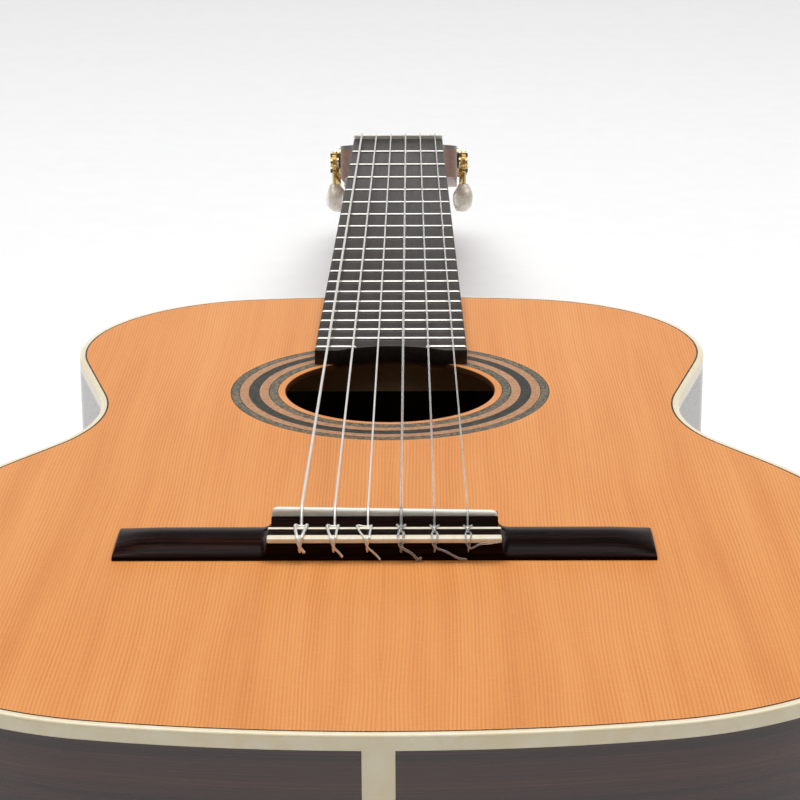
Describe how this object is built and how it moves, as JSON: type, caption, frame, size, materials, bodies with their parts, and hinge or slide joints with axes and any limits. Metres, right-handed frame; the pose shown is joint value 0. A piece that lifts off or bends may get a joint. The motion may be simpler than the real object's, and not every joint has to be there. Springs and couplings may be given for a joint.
{
  "type": "classical guitar",
  "caption": "Classical guitar with a hollow figure-of-eight body, round soundhole, tie bridge, fretted neck and slotted head with geared tuners.",
  "frame": {"origin": "on the outside of the back, on the centre line, midway along the body", "axes": "+X towards the treble side, +Y from the tail along the neck to the head, +Z from the back out through the soundboard"},
  "size_m": [0.368, 1.0054, 0.111],
  "materials": {
    "cedar_top": "satin gloss over fine straight cedar grain",
    "rosette_inlay": "flush inlaid rings, gloss",
    "dark_line": "flush dark line, gloss",
    "cream_binding": "cream, gloss",
    "rosewood_body": "gloss over dark grey-brown rosewood",
    "light_wood": "unfinished spruce or cedar",
    "cedar_neck": "satin",
    "rosewood_veneer": "gloss",
    "ebony_board": "oiled, satin",
    "fret_metal": "polished nickel silver",
    "bone": "polished bone",
    "rosewood_bridge": "polished, nearly black with red-brown streaks",
    "nylon": "clear nylon",
    "wound_silver": "silvered winding wire",
    "tuner_brass": "polished, lacquered",
    "roller_plastic": "cream plastic sleeve",
    "pearl_button": "pearl-like plastic"
  },
  "bodies": {
    "root": {"soundboard": "cedar_top", "rosette": "rosette_inlay", "top_purfling": "dark_line", "top_binding": "cream_binding", "back_binding": "cream_binding", "back_plate_bass": "rosewood_body", "back_plate_treble": "rosewood_body", "back_strip": "light_wood", "side_bass": "rosewood_body", "side_treble": "rosewood_body", "linings": "light_wood", "neck_block": "cedar_neck", "tail_block": "cedar_neck", "end_graft": "cream_binding", "top_braces": "light_wood", "bridge_patch": "light_wood", "back_braces": "light_wood", "neck": "cedar_neck", "heel_cap": "rosewood_body", "headstock": "cedar_neck", "head_veneer": "rosewood_veneer", "fingerboard": "ebony_board", "frets": "fret_metal", "nut": "bone", "bridge": "rosewood_bridge", "tie_block_inlays": "cream_binding", "saddle": "bone", "string_1": "nylon", "string_2": "nylon", "string_3": "nylon", "string_4": "wound_silver", "string_5": "wound_silver", "string_6": "wound_silver", "tuner_plate_bass": "tuner_brass", "tuner_plate_treble": "tuner_brass", "plate_screws": "tuner_brass"},
    "knob_1": {"worm_1": "tuner_brass", "button_1": "pearl_button"},
    "barrel_1": {"roller_1": "roller_plastic", "cog_1": "tuner_brass"},
    "knob_2": {"worm_2": "tuner_brass", "button_2": "pearl_button"},
    "barrel_2": {"roller_2": "roller_plastic", "cog_2": "tuner_brass"},
    "knob_3": {"worm_3": "tuner_brass", "button_3": "pearl_button"},
    "barrel_3": {"roller_3": "roller_plastic", "cog_3": "tuner_brass"},
    "knob_4": {"worm_4": "tuner_brass", "button_4": "pearl_button"},
    "barrel_4": {"roller_4": "roller_plastic", "cog_4": "tuner_brass"},
    "knob_5": {"worm_5": "tuner_brass", "button_5": "pearl_button"},
    "barrel_5": {"roller_5": "roller_plastic", "cog_5": "tuner_brass"},
    "knob_6": {"worm_6": "tuner_brass", "button_6": "pearl_button"},
    "barrel_6": {"roller_6": "roller_plastic", "cog_6": "tuner_brass"}
  },
  "joints": [
    {"name": "knob_1_turn", "type": "hinge", "parent": "root", "child": "knob_1", "pos_m": [0.0395, 0.62743, 0.07591], "axis": [0, 0.2588, 0.9659], "continuous": true},
    {"name": "barrel_1_turn", "type": "hinge", "parent": "root", "child": "barrel_1", "pos_m": [0, 0.6196, 0.07801], "axis": [1, 0, 0], "continuous": true},
    {"name": "knob_2_turn", "type": "hinge", "parent": "root", "child": "knob_2", "pos_m": [0.0395, 0.66124, 0.06686], "axis": [0, 0.2588, 0.9659], "continuous": true},
    {"name": "barrel_2_turn", "type": "hinge", "parent": "root", "child": "barrel_2", "pos_m": [0, 0.65341, 0.06895], "axis": [1, 0, 0], "continuous": true},
    {"name": "knob_3_turn", "type": "hinge", "parent": "root", "child": "knob_3", "pos_m": [0.0395, 0.69504, 0.0578], "axis": [0, 0.2588, 0.9659], "continuous": true},
    {"name": "barrel_3_turn", "type": "hinge", "parent": "root", "child": "barrel_3", "pos_m": [0, 0.68722, 0.05989], "axis": [1, 0, 0], "continuous": true},
    {"name": "knob_4_turn", "type": "hinge", "parent": "root", "child": "knob_4", "pos_m": [-0.0395, 0.69504, 0.0578], "axis": [0, 0.2588, 0.9659], "continuous": true},
    {"name": "barrel_4_turn", "type": "hinge", "parent": "root", "child": "barrel_4", "pos_m": [0, 0.68722, 0.05989], "axis": [1, 0, 0], "continuous": true},
    {"name": "knob_5_turn", "type": "hinge", "parent": "root", "child": "knob_5", "pos_m": [-0.0395, 0.66124, 0.06686], "axis": [0, 0.2588, 0.9659], "continuous": true},
    {"name": "barrel_5_turn", "type": "hinge", "parent": "root", "child": "barrel_5", "pos_m": [0, 0.65341, 0.06895], "axis": [1, 0, 0], "continuous": true},
    {"name": "knob_6_turn", "type": "hinge", "parent": "root", "child": "knob_6", "pos_m": [-0.0395, 0.62743, 0.07591], "axis": [0, 0.2588, 0.9659], "continuous": true},
    {"name": "barrel_6_turn", "type": "hinge", "parent": "root", "child": "barrel_6", "pos_m": [0, 0.6196, 0.07801], "axis": [1, 0, 0], "continuous": true}
  ],
  "couplings": [
    {"joint": "barrel_1_turn", "follows": "knob_1_turn", "ratio": -0.0625},
    {"joint": "barrel_2_turn", "follows": "knob_2_turn", "ratio": -0.0625},
    {"joint": "barrel_3_turn", "follows": "knob_3_turn", "ratio": -0.0625},
    {"joint": "barrel_4_turn", "follows": "knob_4_turn", "ratio": -0.0625},
    {"joint": "barrel_5_turn", "follows": "knob_5_turn", "ratio": -0.0625},
    {"joint": "barrel_6_turn", "follows": "knob_6_turn", "ratio": -0.0625}
  ]
}
